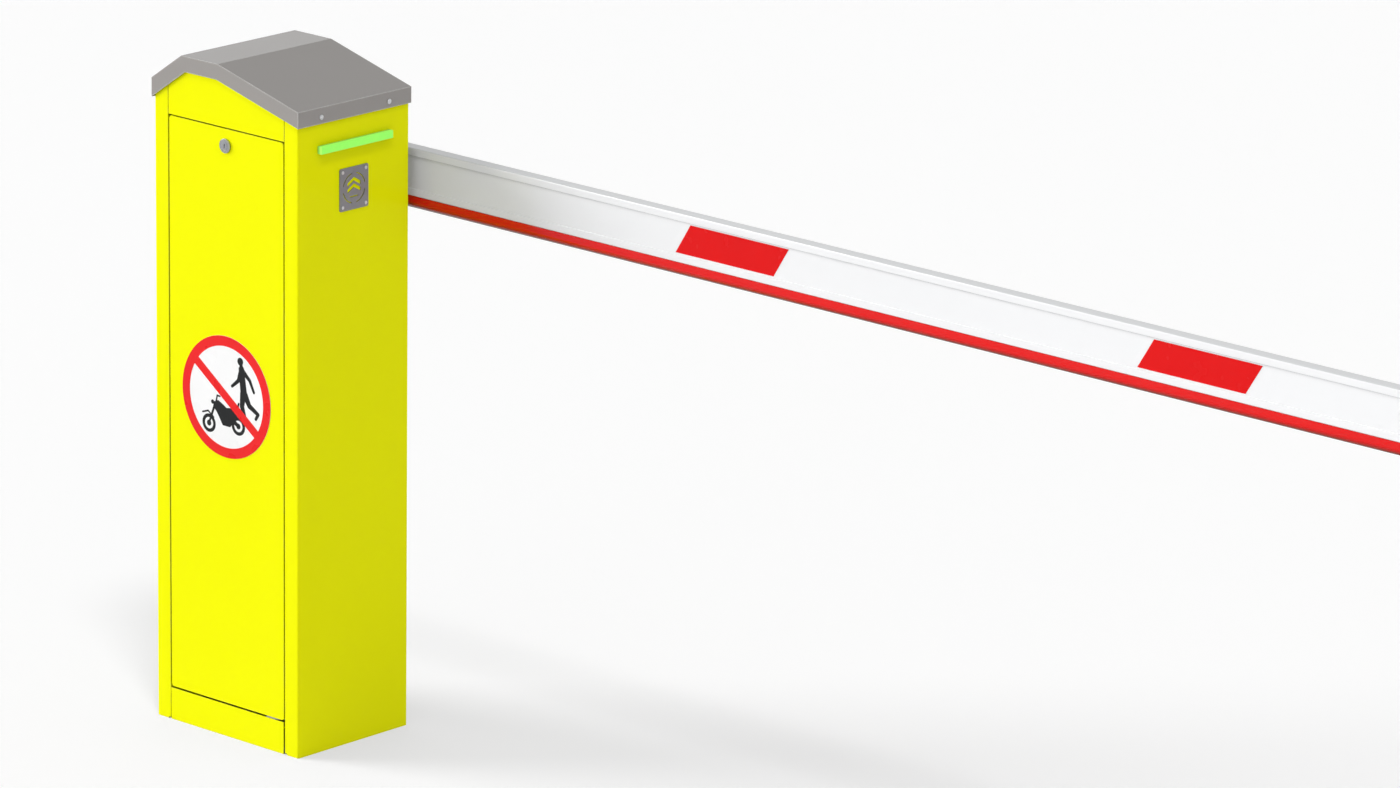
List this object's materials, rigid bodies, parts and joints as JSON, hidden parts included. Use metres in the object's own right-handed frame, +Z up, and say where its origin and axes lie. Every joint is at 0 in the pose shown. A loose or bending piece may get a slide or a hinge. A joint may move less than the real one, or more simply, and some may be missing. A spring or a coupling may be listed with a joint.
{
  "type": "parking barrier gate",
  "caption": "Roadside barrier: a folded-sheet cabinet with a grey roof, a lockable tilting door and a balanced drive, and a flat boom that swings up from its back.",
  "frame": {"origin": "centre of the four anchor holes, on the underside of the base plate at ground level", "axes": "+X along the lowered boom, +Y towards the side that carries the boom, -Y is the door face, +Z up"},
  "size_m": [3.0663, 0.2939, 1.0615],
  "materials": {
    "yellow_paint": "gloss powder coat",
    "roof_paint": "satin powder coat",
    "frame_paint": "satin paint",
    "zinc": "zinc plated",
    "light_green": "lit acrylic",
    "circuit_green": "solder mask",
    "badge_steel": "satin",
    "cast_grey": "painted casting",
    "bearing_steel": "ground",
    "black_rubber": "moulded",
    "motor_paint": "satin paint",
    "dark_plastic": "moulded",
    "sensor_brass": "nickelled thread",
    "machined_steel": "machined",
    "spring_paint": "enamel",
    "box_plastic": "moulded",
    "terminal_plastic": "moulded",
    "boom_white": "white coated, satin",
    "bumper_red": "smooth extrusion",
    "tape_red": "reflective film",
    "sign_print": "printed film",
    "lock_metal": "nickel"
  },
  "bodies": {
    "cabinet": {"base_plate": "frame_paint", "left_side_panel": "yellow_paint", "right_side_panel": "yellow_paint", "rear_panel": "yellow_paint", "upper_panel": "yellow_paint", "kick_plate": "yellow_paint", "roof_cap": "roof_paint", "roof_screws": "zinc", "light_bar": "light_green", "light_board": "circuit_green", "badge_plate": "badge_steel", "badge_rivets": "zinc", "uprights": "frame_paint", "cross_brace": "frame_paint", "equipment_panel": "zinc", "mechanism_plate": "frame_paint", "frame_bolts": "zinc", "bearing_housing": "cast_grey", "shaft_bearings": "bearing_steel", "shaft_seal": "black_rubber", "gearbox": "cast_grey", "motor": "motor_paint", "motor_fan_cover": "dark_plastic", "stop_brackets": "frame_paint", "stop_buffers": "black_rubber", "limit_sensors": "sensor_brass", "m12_nuts": "zinc", "spring_bracket": "frame_paint", "tension_rod": "machined_steel", "balance_spring": "spring_paint", "controller_box": "box_plastic", "controller_lid": "box_plastic", "cable_glands": "dark_plastic", "din_rail": "zinc", "terminal_blocks": "terminal_plastic", "circuit_breaker": "box_plastic", "door_hinge_pins": "zinc"},
    "arm": {"main_shaft": "machined_steel", "shaft_lever": "machined_steel", "lever_pins": "zinc", "sensor_flag": "zinc", "boom_holder": "frame_paint", "boom_clamp": "frame_paint", "clamp_bolts": "zinc", "boom_profile": "boom_white", "boom_bumper": "bumper_red", "boom_end_caps": "dark_plastic", "boom_stickers": "tape_red"},
    "crank": {"output_shaft": "machined_steel", "crank_arm": "machined_steel"},
    "rod": {"rod_tube": "machined_steel", "rod_ends": "machined_steel", "rod_lock_nuts": "zinc"},
    "spring_link": {"spring_yoke": "machined_steel"},
    "door": {"door_panel": "yellow_paint", "door_sign": "sign_print", "lock_housing": "lock_metal"},
    "lock_core": {"lock_plug": "lock_metal", "lock_cam": "machined_steel"},
    "toggle": {"breaker_toggle": "dark_plastic"}
  },
  "joints": [
    {"name": "arm_swing", "type": "hinge", "parent": "cabinet", "child": "arm", "pos_m": [0, 0, 0.8765], "axis": [0, -1, 0], "range_deg": [0, 90], "deforming": ["balance_spring"]},
    {"name": "crank_turn", "type": "hinge", "parent": "cabinet", "child": "crank", "pos_m": [0, 0, 0.64], "axis": [0, -1, 0], "range_deg": [0, 90]},
    {"name": "rod_turn", "type": "hinge", "parent": "crank", "child": "rod", "pos_m": [0.04243, -0.031, 0.59757], "axis": [0, -1, 0], "range_deg": [-90, 0]},
    {"name": "spring_link_turn", "type": "hinge", "parent": "arm", "child": "spring_link", "pos_m": [-0.04243, -0.031, 0.91893], "axis": [0, -1, 0], "range_deg": [-90, 0]},
    {"name": "door_tilt", "type": "hinge", "parent": "cabinet", "child": "door", "pos_m": [0, -0.108, 0.066], "axis": [1, 0, 0], "range_deg": [0, 85]},
    {"name": "lock_turn", "type": "hinge", "parent": "door", "child": "lock_core", "pos_m": [0, -0.11, 0.937], "axis": [0, 1, 0], "range_deg": [0, 90]},
    {"name": "breaker_flip", "type": "hinge", "parent": "cabinet", "child": "toggle", "pos_m": [0.068, -0.044, 0.31], "axis": [1, 0, 0], "range_deg": [0, 60]}
  ],
  "couplings": [
    {"joint": "crank_turn", "follows": "arm_swing", "ratio": 1},
    {"joint": "rod_turn", "follows": "arm_swing", "ratio": -1},
    {"joint": "spring_link_turn", "follows": "arm_swing", "ratio": -1}
  ]
}
